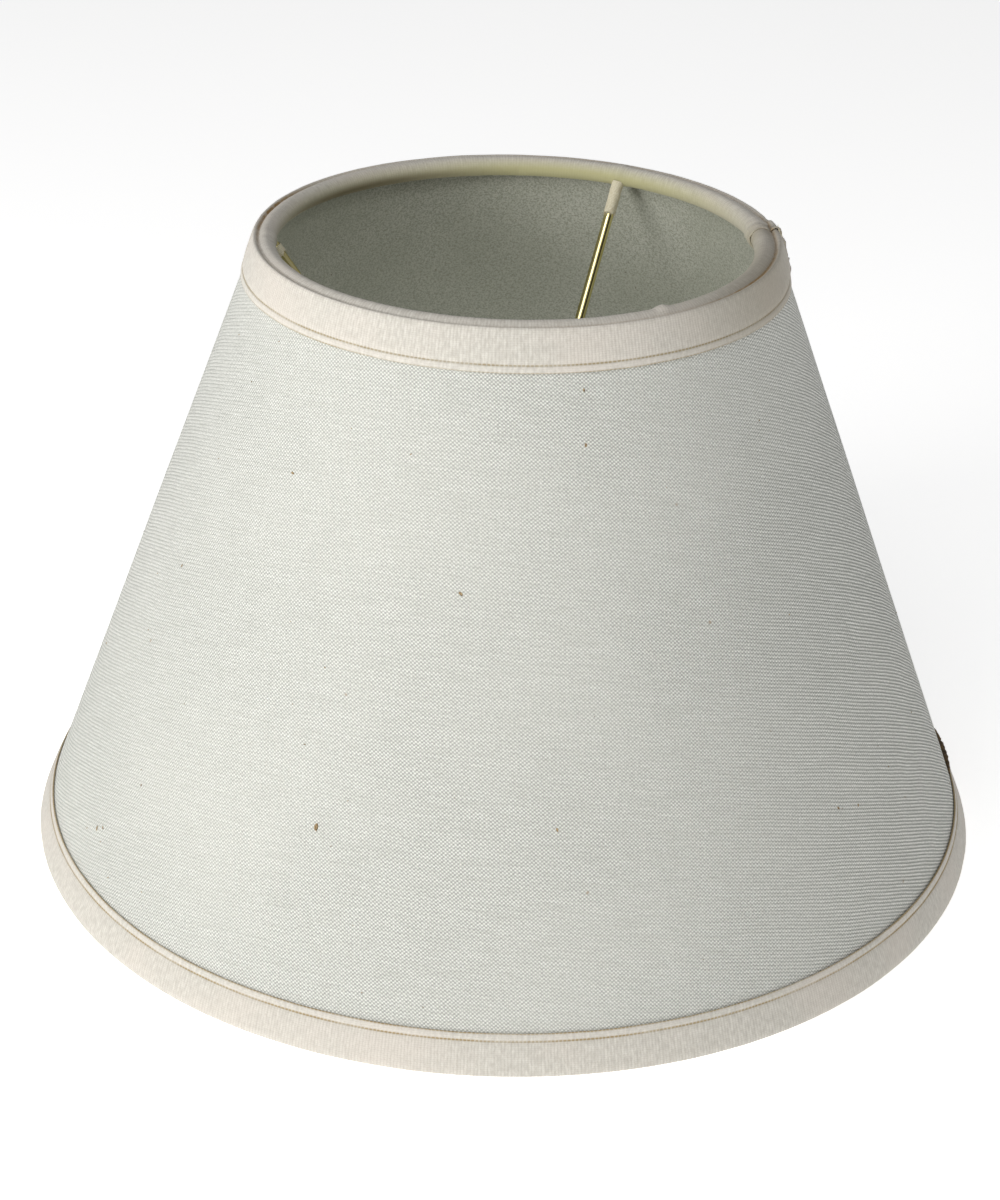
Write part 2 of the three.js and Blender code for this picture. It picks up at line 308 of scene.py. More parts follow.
def tape_finish(name, hem_line, tape_edge, crease, thread, stains=(), hem_stains=(), painted_side_shade=()):
    """Ribbed cotton tape, laid along the strip's length and across from its outer hem.

    Stains, hem stains and painted side shade are places (angle, width, weight) round the rim: of
    glue in the crease, of colour in the hem's threads, and of painted shade darkening the whole
    band.
    """
    cloth = Finish(name, Roughness=0.93, Sheen_Weight=0.1, Sheen_Roughness=0.5)
    length, across = cloth.chart()
    flat = cloth.vector(length, across)
    sway = (cloth.cloud(flat, 60) - 0.5) * 0.9
    rib = abs((length / RIB_PITCH + sway).wave())
    pick = abs((across / PICK_PITCH + (cloth.cloud(flat, 90) - 0.5) * 2).wave())
    tone = cloth.cloud(cloth.vector(length * 1000, across * 420), 1, detail=3)
    grain = cloth.cloud(flat, 1700, detail=3, roughness=0.7)
    in_hem = 1 - across.step(hem_line - 0.1 * MM, hem_line + 0.1 * MM)
    broad = cloth.cloud(flat, 30, detail=3)

    pale = cloth.blend(tone.step(0.25, 0.75), paint(194, 190, 181), paint(219, 216, 207))
    warm = cloth.blend(broad.step(0.35, 0.7) * 0.6, pale, paint(218, 210, 200))
    ribbed = cloth.blend((1 - rib) ** 2 * 0.4 * (1 - in_hem), warm, paint(170, 161, 148))
    picked = cloth.blend((1 - pick) ** 2 * 0.25, ribbed, paint(172, 164, 152))
    grained = cloth.blend(grain.step(0.48, 0.72) * 0.4, picked, paint(176, 166, 150))

    x, y = cloth.axes(cloth.place())[:2]
    signed = x.math("ARCTAN2", y) / math.tau * 360
    angle = signed + (1 - signed.step(-0.01, 0.01)) * 360  # from 0 to 360

    def round_rim(places, least):
        """How strongly something shows round the rim, from (angle, width, weight) places."""
        total = least
        for centre, width, weight in places:
            total = angle.near(centre, width) * weight + total
        return total

    # Thread lines run just inside the turned hem and along its edge.
    beat = (length / STITCH_PITCH + (cloth.cloud(flat, 220) - 0.5) * 0.8).wave()
    stitch = abs(beat).step(0.25, 0.8)
    line = across.near(hem_line, 0.55 * MM) * (0.5 + stitch * 0.5)
    edge = across.near(tape_edge, 0.6 * MM) * (0.55 + stitch * 0.45)
    faint = cloth.cloud(flat, 45, detail=3).step(0.3, 0.62) * 0.5 + round_rim(hem_stains, 0.5)
    threaded = cloth.blend(((line + edge) * faint).math("MINIMUM", 0.92), grained, thread)

    # Painted shade darkens the band at the given places, most of all on its right side.
    if painted_side_shade:
        threaded = cloth.blend(round_rim(painted_side_shade, 0), threaded, paint(140, 130, 108))

    # The roll has yellowed inside, it carries painted shade underneath, and old glue shows in the
    # crease.
    inner = across.step(crease + 3.5 * MM, crease + 9 * MM)
    yellow = inner * round_rim(((15, 80, 0.8), (375, 80, 0.8), (300, 40, 0.3)), 0.14)
    aged = cloth.blend(yellow.math("MINIMUM", 0.85), threaded, paint(192, 188, 136))
    # Painted shade on the roll's underside, darkest at the back left.
    painted_underside_shade = across.step(crease + 6.5 * MM, crease + 10 * MM) * round_rim(((312, 60, 0.85),), 0.08)
    aged = cloth.blend(painted_underside_shade, aged, paint(98, 88, 56))
    blot = cloth.cloud(flat, 260, detail=4, roughness=0.65).step(0.34, 0.6)
    line_share = 1 - abs(across - crease).step(0.45 * MM, 1.0 * MM)
    glue = line_share * round_rim(stains, 0.12) * (0.45 + blot * 0.55)
    glued = cloth.blend(glue.math("MINIMUM", 0.95), aged, paint(150, 116, 56))
    cloth.feed("Base Color", glued)
    relief = rib * 0.4 * (1 - in_hem) + pick * 0.14 + grain * 0.3 - line * 0.3
    cloth.raise_by(relief, 0.12 * MM, 0.6)
    return cloth.material


def liner_finish():
    """Stiff sheet with a fine dull grain and dust."""
    sheet = Finish("liner", Roughness=0.62, Specular_IOR_Level=0.3)
    place = sheet.place()
    grain = sheet.cloud(place, 1600, detail=3, roughness=0.7)
    cloudy = sheet.cloud(place, 22, detail=4)
    tone = sheet.blend(cloudy.step(0.3, 0.7), paint(176, 178, 165), paint(190, 191, 180))
    fine = sheet.blend(grain.step(0.4, 0.62) * 0.9, tone, paint(146, 148, 134))
    dust = sheet.cloud(place, 420, detail=1).step(0.775, 0.8)
    sheet.feed("Base Color", sheet.blend(dust * 0.5, fine, paint(92, 84, 66)))
    sheet.raise_by(grain, 0.06 * MM, 0.5)
    return sheet.material


def brass_finish(name, bright, tarnish, gloss, dents_mm, arm_angle=None):
    """Drawn brass wire or stamped brass, with handling marks and a little tarnish.

    A wire that stands at an angle round the shade has a painted reflection, a dark line, down one
    side.
    """
    metal = Finish(name, Metallic=1.0, Specular_Tint=paint(196, 186, 92))
    place = metal.place()
    marks = metal.cloud(place, 900, detail=4, roughness=0.6)
    film = metal.cloud(place, 70, detail=4)
    aged = metal.blend(film.step(0.42, 0.75) * tarnish, bright, paint(150, 132, 62))
    worn = metal.blend(marks.step(0.62, 0.8) * 0.2, aged, paint(160, 140, 76))
    # A dark line down the wire's side is a painted reflection of something dark, fixed to the
    # wire.
    if arm_angle is not None:
        turn = math.radians(arm_angle)
        x, y = metal.axes(place)[:2]
        line = (x * math.cos(turn) - y * math.sin(turn)).near(1.05 * MM, 0.3 * MM)
        worn = metal.blend(line.step(0.2, 0.6) * 0.9, worn, paint(44, 38, 16))
    metal.feed("Base Color", worn)
    metal.feed("Roughness", gloss + marks * 0.05 + film.step(0.42, 0.75) * tarnish * 0.1)
    metal.raise_by(marks, dents_mm * MM, 0.12)
    return metal.material


def steel_finish():
    """Drawn steel ring wire, lightly oxidised."""
    metal = Finish("ring steel", Metallic=1.0)
    place = metal.place()
    film = metal.cloud(place, 160, detail=4)
    metal.feed("Base Color", metal.blend(film.step(0.4, 0.7), paint(158, 156, 150),
                                         paint(112, 102, 90)))
    metal.feed("Roughness", 0.3 + film * 0.25)
    return metal.material


def sleeve_finish():
    """Cream fibre wound round an arm's root."""
    cloth = Finish("arm sleeve", Roughness=0.85, Sheen_Weight=0.15, Sheen_Roughness=0.5)
    length, across = cloth.chart()
    flat = cloth.vector(length, across)
    wind = abs((across / SLEEVE_PITCH + length / SLEEVE_TWIST).wave())
    fibre = cloth.cloud(cloth.vector(length * 4, across), 900, detail=3, roughness=0.65)
    pale = cloth.blend(fibre.step(0.35, 0.7), paint(216, 207, 176), paint(240, 235, 214))
    stain = cloth.cloud(flat, 330, detail=2).step(0.5, 0.75)
    shade = cloth.blend((1 - wind) ** 2 * 0.4, pale, paint(170, 156, 118))
    cloth.feed("Base Color", cloth.blend(stain * 0.35, shade, paint(188, 170, 124)))
    cloth.raise_by(wind * 0.6 + fibre * 0.6, 0.1 * MM, 0.8)
    return cloth.material


def glue_finish():
    """Aged brown glue, glossy where it set thick."""
    glue = Finish("aged glue", Specular_IOR_Level=0.5, Coat_Roughness=0.2)
    place = glue.place()
    murk = glue.cloud(place, 500, detail=3)
    glue.feed("Base Color", glue.blend(murk.step(0.35, 0.7), paint(66, 50, 26),
                                       paint(124, 98, 54)))
    glue.feed("Roughness", 0.25 + murk * 0.4)
    glue.raise_by(murk, 0.15 * MM, 0.6)
    return glue.material


def fleck_finish():
    """Brown husk and dark lint caught in the weave."""
    husk = Finish("husk", Roughness=0.85)
    murk = husk.cloud(husk.place(), 2200, detail=2)
    husk.feed("Base Color", husk.blend(murk.step(0.35, 0.65), paint(96, 74, 44),
                                       paint(178, 156, 116)))
    husk.raise_by(murk, 0.1 * MM, 0.8)
    return husk.material


# ---- making pieces -----------------------------------------------------------------------------

def piece_of(name, bm, finish):
    """Turns a bmesh into a piece that rides on the shade."""
    mesh = bpy.data.meshes.new(name)
    bm.to_mesh(mesh)
    bm.free()
    mesh.materials.append(finish)
    mesh.polygons.foreach_set("use_smooth", [True] * len(mesh.polygons))
    piece = bpy.data.objects.new(name, mesh)
    bpy.context.scene.collection.objects.link(piece)
    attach(piece, "root")
    return piece


def thicken(piece, thickness_mm):
    """Gives a sheet its thickness, inwards from its modelled face."""
    solid = piece.modifiers.new("thickness", "SOLIDIFY")
    solid.thickness = thickness_mm * MM
    solid.offset = -1


def sheet_mesh(around, across, shape, flat):
    """A grid carried onto the shade. Both functions take shares of the way round and across."""
    bm = bmesh.new()
    bmesh.ops.create_grid(bm, x_segments=around, y_segments=across, size=0.5)
    chart = bm.loops.layers.uv.new("flat")
    for face in bm.faces:
        for loop in face.loops:
            loop[chart].uv = flat(loop.vert.co.x + 0.5, loop.vert.co.y + 0.5)
    for vert in bm.verts:
        vert.co = shape(vert.co.x + 0.5, vert.co.y + 0.5)
    return bm


def ripple(x, y, z, scale):
    """Even noise between -1 and 1."""
    return noise.noise(Vector((x, y, z)) * scale)


def smooth_rise(value):
    """Nought below nought and one above one, with a smooth rise between."""
    value = min(max(value, 0), 1)
    return value * value * (3 - 2 * value)


def thread(bm, root, tip, thick_mm, thin_mm, sides):
    """A short straight thread. Its two sizes are half its width at each end."""
    way = tip - root
    place = (Matrix.Translation((root + tip) / 2)
             @ way.to_track_quat("Z", "Y").to_matrix().to_4x4())
    bmesh.ops.create_cone(bm, cap_ends=True, segments=sides, radius1=thick_mm * MM,
                          radius2=thin_mm * MM, depth=way.length, matrix=place)


class Section:
    """A line (radius, height) in millimetres, rounded at its corners and walked by distance."""

    def __init__(self, corners, rounds=3):
        points = list(corners)
        for _ in range(rounds):
            cut = [points[0]]
            for first, second in zip(points, points[1:]):
                cut += [first.lerp(second, 0.25), first.lerp(second, 0.75)]
            points = cut + [points[-1]]
        self.points = points
        self.reached = [0.0]
        for first, second in zip(points, points[1:]):
            self.reached.append(self.reached[-1] + (second - first).length)
        self.length = self.reached[-1]

    def at(self, distance):
        """The point at a distance, and the direction square to the line there."""
        distance = min(max(distance, 0), self.length)
        i = next(k for k in range(1, len(self.points)) if self.reached[k] >= distance - 1e-9)
        first, second = self.points[i - 1], self.points[i]
        run = self.reached[i] - self.reached[i - 1]
        point = first.lerp(second, (distance - self.reached[i - 1]) / run if run else 0)
        ahead = self.points[min(i + 1, len(self.points) - 1)] - self.points[max(i - 2, 0)]
        ahead.normalize()
        return point, Vector((ahead.y, -ahead.x))

    def stations(self, most_turn=20, longest=1.1):
        """Distances to cut the line at, close together where it turns."""
        kept, turned_by = [0.0], 0.0
        for i in range(1, len(self.points) - 1):
            before = self.points[i] - self.points[i - 1]
            after = self.points[i + 1] - self.points[i]
            turned_by += math.degrees(before.angle(after, 0))
            since = self.reached[i] - kept[-1]
            if turned_by > most_turn or since > longest:
                kept.append(self.reached[i])
                turned_by = 0.0
        return kept + [self.length]

    def nearest(self, target):
        """The distance at which the line passes closest to a point."""
        gaps = [(point - target).length for point in self.points]
        return self.reached[gaps.index(min(gaps))]


# ---- cover and liner ---------------------------------------------------------------------------

SIN_CONE = -up.x  # of half the cone's angle
apex_along = SLOPE_MM + on_wall(SLOPE_MM, COVER_FACE_MM).x / SIN_CONE  # where the cone closes


def linen_cover():
    """One piece wound once round the liner, its last edge lapped over its first."""
    lap_turn = COVER_LAP_MM / (math.tau * MEAN_RADIUS_MM) * 360
    span = 360 + lap_turn
    end = SEAM_ANGLE - lap_turn / 2

    def angle_of(share):
        return end + 360 + lap_turn - share * span

    def shape(share, height):
        angle = angle_of(share)
        along = WALL_START_MM + height * (WALL_END_MM - WALL_START_MM)
        lift = COVER_LAP_RISE_MM * (1 - smooth_rise(share * span / lap_turn - 1))
        fine = 0.05 * ripple(angle * 0.05, along * 0.03, 2.0, 1.0)
        broad = 0.10 * ripple(math.sin(math.radians(angle)), math.cos(math.radians(angle)),
                              along * 0.012, 1.7)
        point = on_wall(along, COVER_FACE_MM + fine + broad + lift)
        return turned(angle, point.x, point.y)

    def flat(share, height):
        along = WALL_START_MM + height * (WALL_END_MM - WALL_START_MM)
        turn = math.radians((angle_of(share) - 180) * SIN_CONE)
        reach = (apex_along - along) * MM
        return reach * math.sin(turn), -reach * math.cos(turn)

    bm = sheet_mesh(around=504, across=44, shape=shape, flat=flat)
    piece = piece_of("linen_cover", bm, linen_finish())
    thicken(piece, SKIN_MM)
    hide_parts("cover")


def stiff_liner():
    """The stiff sheet that the linen is laminated to. Its edges butt behind the seam."""
    join, wound = SEAM_ANGLE + 4, 359.7  # degrees, a hairline gap short of a full turn

    def shape(share, height):
        point = on_wall(WALL_START_MM + height * (WALL_END_MM - WALL_START_MM), LINER_FACE_MM)
        return turned(join - share * wound, point.x, point.y)

    def flat(share, height):
        return share * math.tau * MEAN_RADIUS_MM * MM, height * SLOPE_MM * MM

    bm = sheet_mesh(around=360, across=16, shape=shape, flat=flat)
    piece = piece_of("stiff_liner", bm, liner_finish())
    thicken(piece, SKIN_MM)
    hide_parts("liner")


# ---- rim tapes ---------------------------------------------------------------------------------

def round_wire(wire, radius, start, end, step=15):
    """Points round a wire's centre between two angles, 0 away from the axis and 90 up."""
    count = max(2, round(abs(end - start) / step))
    angles = [math.radians(start + (end - start) * i / count) for i in range(count + 1)]
    return [wire + Vector((math.cos(a), math.sin(a))) * radius for a in angles]


def top_section():
    """From the turned hem on the wall up to the crease, and round the wire to the liner."""
    edge = SLOPE_MM - TAPE_REACH_MM
    band = [(edge + 0.9, 0.85), (edge + 0.2, 0.85), (edge, 1.1), (edge + 0.1, 1.42),
            (edge + 0.7, 1.52), (edge + HEM_MM - 0.35, 1.58), (edge + HEM_MM, 1.36),
            (edge + HEM_MM + 0.35, 1.62), (edge + 4.5, 1.85), (SLOPE_MM - 1.2, 1.97),
            (SLOPE_MM + 0.6, 1.96), (SLOPE_MM + 1.3, 1.7), (SLOPE_MM + 1.35, 0.8),
            (SLOPE_MM + 0.95, 0.4), (SLOPE_MM + 0.98, 0.25)]
    return Section([on_wall(*corner) for corner in band] + round_wire(top_wire, ROLL_MM, 40, 292))


def bottom_section():
    """From the turned hem down to the flat that the shade stands on, and round the wire."""
    edge = TAPE_REACH_MM
    band = [(edge - 0.9, 0.85), (edge - 0.2, 0.85), (edge, 1.1), (edge - 0.1, 1.42),
            (edge - 0.7, 1.52), (edge - HEM_MM + 0.35, 1.58), (edge - HEM_MM, 1.36),
            (edge - HEM_MM - 0.35, 1.62), (edge - 4.5, 1.85), (3, 1.97), (1.4, 1.97)]
    corner = [bottom_edge, bottom_edge - Vector((0.15, 1.2)), bottom_edge - Vector((0.9, 1.5))]
    return Section([on_wall(*place) for place in band] + corner
                   + round_wire(bottom_wire, ROLL_MM, -90, -232))


def wrapped_tape(name, node, section, join, lap_mm, around, finish, lumps=()):
    """A strip of tape wound once round a rim, its folded end lapped over its start.

    A lump is an angle, where it begins and ends across the strip, its width in degrees, and how
    far it rises, or sinks where that is below nought.
    """
    middle = section.at(section.length / 2)[0].x
    stations = section.stations()
    across = len(stations) - 1
    # The lower tape's section runs down the wall, so its square and its faces look inwards.
    facing = 1 if section.at(section.length * 0.3)[1].dot(outward) > 0 else -1
    lap_turn = lap_mm / (math.tau * middle) * 360
    span = 360 + lap_turn

    def angle_of(share):
        return join + 360 + lap_turn - share * span

    def shape(share, height):
        angle = angle_of(share)
        distance = stations[round(height * across)]
        turn = math.radians(angle)
        x, y = math.sin(turn) * middle, math.cos(turn) * middle
        wobble = 0.16 * ripple(x, y, 7.0, 0.045) * (1 if distance < 6 else 0.5)
        point, square = section.at(distance + wobble)
        relief = 0.06 * ripple(x, y, distance * 0.4, 0.11) + 0.035 * ripple(x, y, distance, 0.5)
        passed = share * span / lap_turn
        relief += TAPE_LAP_RISE_MM * (1 - smooth_rise((passed - 1.0) / 0.8))
        crumple = smooth_rise(1.6 - abs(passed - 0.6))
        relief += CRUMPLE_MM * crumple * ripple(x, y, distance, 0.4)
        for lump_angle, lump_from, lump_to, width, rise in lumps:
            gap = abs((angle - lump_angle + 180) % 360 - 180) / width
            over = smooth_rise(1 - gap)
            side = smooth_rise((distance - lump_from) / 2) * smooth_rise((lump_to - distance) / 2)
            relief += rise * over * side
        point = point + square * relief * facing
        return turned(angle, point.x, max(point.y, 0))

    def flat(share, height):
        distance = stations[round(height * across)]
        return share * span / 360 * math.tau * middle * MM, distance * MM

    bm = sheet_mesh(around, across, shape, flat)
    if facing < 0:
        bmesh.ops.reverse_faces(bm, faces=bm.faces)
    piece = piece_of(name, bm, finish)
    thicken(piece, TAPE_CLOTH_MM)
    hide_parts(node)


def top_tape():
    """The upper tape, lumpy where the arms leave its roll and slack at its folded end."""
    section = top_section()
    tape_edge = section.nearest(on_wall(SLOPE_MM - TAPE_REACH_MM, 1.3))
    hem = section.nearest(on_wall(SLOPE_MM - TAPE_REACH_MM + HEM_MM, 1.4))
    crease = section.nearest(on_wall(SLOPE_MM + 1.05, 0.45))
    glue = [(283, 28, 0.9), (116, 34, 0.8), (82, 14, 0.45), (20, 40, 0.3), (165, 30, 0.3)]
    cloth = tape_finish("top tape", hem * MM, tape_edge * MM, crease * MM, paint(150, 134, 98),
                        stains=glue, painted_side_shade=((112, 45, 0.55), (85, 6, 0.3)))
    roll_start, roll_end = crease + 1, section.length - 1
    inner_start, inner_end = roll_start + 1.5, section.length + 2
    lumps = [(ARM_ANGLES[0], roll_start, roll_end, 3.0, 0.4),
             (ARM_ANGLES[1], roll_start, roll_end, 2.6, 0.75),
             (ARM_ANGLES[2], roll_start, roll_end, 3.0, 0.4),
             (88, 2, crease + 1, 10, 0.7),
             (262, inner_start, inner_end, 62, -0.62),
             (85, inner_start, inner_end, 60, 0.3)]
    wrapped_tape("top_tape_cloth", "top_tape", section, TOP_TAPE_JOIN, TOP_TAPE_LAP_MM,
                 around=620, finish=cloth, lumps=lumps)


def bottom_tape():
    """The lower tape. Its crease is hidden, so its finish has none."""
    section = bottom_section()
    tape_edge = section.nearest(on_wall(TAPE_REACH_MM, 1.3))
    hem = section.nearest(on_wall(TAPE_REACH_MM - HEM_MM, 1.4))
    no_crease = 1.0
    cloth = tape_finish("bottom tape", hem * MM, tape_edge * MM, no_crease,
                        paint(156, 134, 88), hem_stains=((98, 42, 0.8), (262, 30, 0.35)))
    wrapped_tape("bottom_tape_cloth", "bottom_tape", section, BOTTOM_TAPE_JOIN,
                 BOTTOM_TAPE_LAP_MM, around=900, finish=cloth)


# ---- fitter and arms ---------------------------------------------------------------------------

FITTER_BOTTOM_MM = HEIGHT_MM - FITTER_DROP_MM
FLANGE_MM = 1.6
LIP_MM = 3.6
LIP_WALL_MM = 1.5
FITTER_BEVEL_MM = 0.35
ELBOW_MM = 9
ARM_STOP_MM = 0.6  # from an arm's end to the lip
ARM_ABOVE_MM = 0.3  # from an arm down to the flange
MERGE = 1e-6
FINE_MERGE = 1e-7
arm_end = Vector((FITTER_BORE_MM + LIP_WALL_MM + ARM_STOP_MM,
                  FITTER_BOTTOM_MM + FLANGE_MM + ARM_ABOVE_MM + ARM_MM))
elbow = Vector((FITTER_MM + ELBOW_MM, arm_end.y))
to_wire = top_wire - elbow
arm_pitch = math.atan2(to_wire.y, to_wire.x) + math.asin(ARM_ASIDE_MM / to_wire.length)
arm_up = Vector((math.cos(arm_pitch), math.sin(arm_pitch)))
arm_top = elbow + arm_up * to_wire.dot(arm_up)


def in_arm_plane(angle):
    """Carries x, y, z of an arm's plane, x away from the axis, to its place round the shade."""
    return Matrix.Rotation(math.radians(90 - angle), 4, "Z")


def arm_wire(index, finish):
    """A wire from the ring down to its elbow and in along the fitter's flange."""
    bm = bmesh.new()
    start = arm_top - arm_up * ARM_SHORT_MM
    lean = Matrix.Rotation(math.pi / 2 - arm_pitch, 4, "Y")
    place = Matrix.Translation(Vector((start.x, 0, start.y)) * MM) @ lean
    bmesh.ops.create_circle(bm, segments=24, radius=ARM_MM * MM, matrix=place, cap_ends=True)
    edges = list(bm.edges)
    tangent = ELBOW_MM * math.tan(arm_pitch / 2)
    bend_start = elbow + arm_up * tangent
    bend_centre = Vector((elbow.x - tangent, elbow.y + ELBOW_MM))

    def carry(edges, way):
        """Extrudes a ring of edges, and gives the ring that moved."""
        made = bmesh.ops.extrude_edge_only(bm, edges=edges)["geom"]
        moved = [item for item in made if isinstance(item, bmesh.types.BMVert)]
        bmesh.ops.translate(bm, verts=moved, vec=Vector((way.x, 0, way.y)) * MM)
        return [item for item in made if isinstance(item, bmesh.types.BMEdge)
                and item.verts[0] in moved and item.verts[1] in moved]

    lengths, level_lengths = 12, 3
    for _ in range(lengths):
        edges = carry(edges, (bend_start - start) / lengths)
    made = bmesh.ops.spin(bm, geom=edges, cent=Vector((bend_centre.x, 0, bend_centre.y)) * MM,
                          axis=(0, 1, 0), angle=arm_pitch, steps=14)["geom_last"]
    edges = [item for item in made if isinstance(item, bmesh.types.BMEdge)]
    level_start = Vector((elbow.x - tangent, elbow.y))
    for _ in range(level_lengths):
        edges = carry(edges, (arm_end - level_start) / level_lengths)
    bmesh.ops.holes_fill(bm, edges=edges, sides=0)
    bmesh.ops.remove_doubles(bm, verts=bm.verts, dist=MERGE)
    bmesh.ops.recalc_face_normals(bm, faces=bm.faces)
    bmesh.ops.transform(bm, verts=bm.verts, matrix=in_arm_plane(ARM_ANGLES[index]))
    piece = piece_of(f"arm_wire_{index + 1}", bm, finish)
    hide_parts(f"arm_{index + 1}")


def arm_sleeve(index, finish):
    """A fibre sleeve on an arm's root, wound a little unevenly and frayed at its lower end."""
    chance = random.Random(40 + index)
    length_mm, radius_mm = SLEEVE_MM[index], ARM_MM + SLEEVE_WALL_MM
    side = arm_up.orthogonal()

    def on_arm(down, turn, radius):
        """A point at a distance down an arm, a turn round it and a radius from its line."""
        line = arm_top - arm_up * down
        cross = math.cos(turn) * radius
        level = math.sin(turn) * radius
        return Vector((line.x + side.x * cross, level, line.y + side.y * cross)) * MM

    def shape(share, height):
        turn = share * math.tau
        down = SLEEVE_START_MM + height * length_mm
        ragged = 0.7 * ripple(math.cos(turn), math.sin(turn), index, 2.3) * height ** 6
        radius = radius_mm + 0.12 * ripple(math.cos(turn) * 2, math.sin(turn) * 2, down, 0.8)
        radius -= 0.3 * smooth_rise((height - 0.94) / 0.06)
        return on_arm(down + ragged, turn, radius)

    def flat(share, height):
        return share * math.tau * radius_mm * MM, height * length_mm * MM

    bm = sheet_mesh(around=28, across=36, shape=shape, flat=flat)
    bmesh.ops.remove_doubles(bm, verts=bm.verts, dist=FINE_MERGE)
    frays = 26
    for _ in range(frays):
        turn = chance.uniform(0, math.tau)
        down = SLEEVE_START_MM + length_mm - chance.uniform(0.1, 0.6)
        root = on_arm(down, turn, radius_mm - 0.1)
        tip = on_arm(down + chance.uniform(0.5, 1.5), turn + chance.uniform(-0.5, 0.5),
                     radius_mm + chance.uniform(-0.1, 0.5))
        thread(bm, root, tip, 0.07, 0.02, sides=4)
    bmesh.ops.recalc_face_normals(bm, faces=bm.faces)
    bmesh.ops.transform(bm, verts=bm.verts, matrix=in_arm_plane(ARM_ANGLES[index]))
    piece = piece_of(f"arm_fibre_{index + 1}", bm, finish)
    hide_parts(f"arm_sleeve_{index + 1}")


def slip_fitter(finish):
    """A stamped ring with a raised lip round its bore."""
    bm = bmesh.new()
    inside, outside = FITTER_BORE_MM, FITTER_MM
    low, flange, lip = FITTER_BOTTOM_MM, FITTER_BOTTOM_MM + FLANGE_MM, FITTER_BOTTOM_MM + LIP_MM
    wall = inside + LIP_WALL_MM
    corners = [(inside, low), (outside, low), (outside, flange), (wall, flange), (wall, lip),
               (inside, lip)]
    verts = [bm.verts.new(Vector((r, 0, z)) * MM) for r, z in corners]
    edges = [bm.edges.new((verts[i - 1], verts[i])) for i in range(len(verts))]
    bmesh.ops.spin(bm, geom=verts + edges, cent=(0, 0, 0), axis=(0, 0, 1), angle=math.tau,
                   steps=96, use_merge=True)
    bmesh.ops.remove_doubles(bm, verts=bm.verts, dist=MERGE)
    bmesh.ops.recalc_face_normals(bm, faces=bm.faces)
    rims = [edge for edge in bm.edges if edge.calc_face_angle(0) > 0.6]
    bmesh.ops.bevel(bm, geom=rims, offset=FITTER_BEVEL_MM * MM, affect="EDGES", segments=3,
                    profile=0.5, material=-1)
    piece = piece_of("slip_fitter", bm, finish)
    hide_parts("fitter_ring")


def braze(index, finish):
    """The lump that joins an arm's end to the fitter."""
    bm = bmesh.new()
    bmesh.ops.create_icosphere(bm, subdivisions=4, radius=1)
    for vert in bm.verts:
        vert.co *= 1 + 0.16 * noise.noise(vert.co * 1.6 + Vector((index * 9, 3, 5)))
        vert.co = Vector((vert.co.x * 2.1, vert.co.y * 2.0, vert.co.z * 1.05)) * MM
        vert.co.z = max(vert.co.z, -0.9 * MM)
    place = Vector((arm_end.x + 1.6, 0, arm_end.y - 0.95)) * MM
    bmesh.ops.translate(bm, verts=bm.verts, vec=place)
    bmesh.ops.transform(bm, verts=bm.verts, matrix=in_arm_plane(ARM_ANGLES[index]))
    piece_of(f"braze_{index + 1}", bm, finish)


# ---- small things on the cloth -----------------------------------------------------------------

def lump(bm, centre, sizes, facing, turn, seed, subdivisions=2):
    """A small uneven blob: sizes are half its length, width and height."""
    made = bmesh.ops.create_icosphere(bm, subdivisions=subdivisions, radius=1)["verts"]
    basis = facing.to_track_quat("Z", "Y").to_matrix() @ Matrix.Rotation(turn, 3, "Z")
    for vert in made:
        rough = 1 + 0.35 * noise.noise(vert.co * 1.9 + Vector((seed, seed * 0.7, 1)))
        spot = Vector((vert.co.x * sizes[0], vert.co.y * sizes[1], vert.co.z * sizes[2])) * rough
        vert.co = centre + basis @ spot * MM


def wall_point(angle, along, out):
    """The point at an angle round the shade and a place on its wall."""
    point = on_wall(along, out)
    return turned(angle, point.x, point.y)


def wall_square(angle):
    """The direction square to the wall, outwards."""
    turn = math.radians(angle)
    return Vector((math.sin(turn) * outward.x, math.cos(turn) * outward.x, outward.y))


def husks():
    """Flecks of husk: large ones by angle, height up the slope and size, and scattered ones."""
    chance = random.Random(7)
    bm = bmesh.new()
    large = [(187.3, 134.4, 1.0), (204.1, 62.5, 1.5), (240.9, 27, 1.1), (239.5, 29, 0.8),
             (220.2, 157.7, 0.8), (166.9, 175.7, 0.8), (173.2, 68.9, 0.8), (166.7, 190.8, 0.7),
             (241.1, 115, 0.7), (132, 54, 0.9), (128, 51, 0.7),
             (234, 50, 0.55), (235, 18, 0.5), (228, 22, 0.5), (235, 54, 0.35), (120, 62, 0.4)]
    small = [(chance.uniform(0, 360), chance.uniform(14, 192), chance.uniform(0.25, 0.5))
             for _ in range(90)]
    for i, (angle, along, size) in enumerate(large + small):
        sizes = (size * 0.75, size * 0.4, 0.14)
        lump(bm, wall_point(angle, along, COVER_FACE_MM + 0.06), sizes, wall_square(angle),
             chance.uniform(0, math.pi), i * 3.1, subdivisions=2 if size > 0.5 else 1)
    piece_of("husks", bm, fleck_finish())


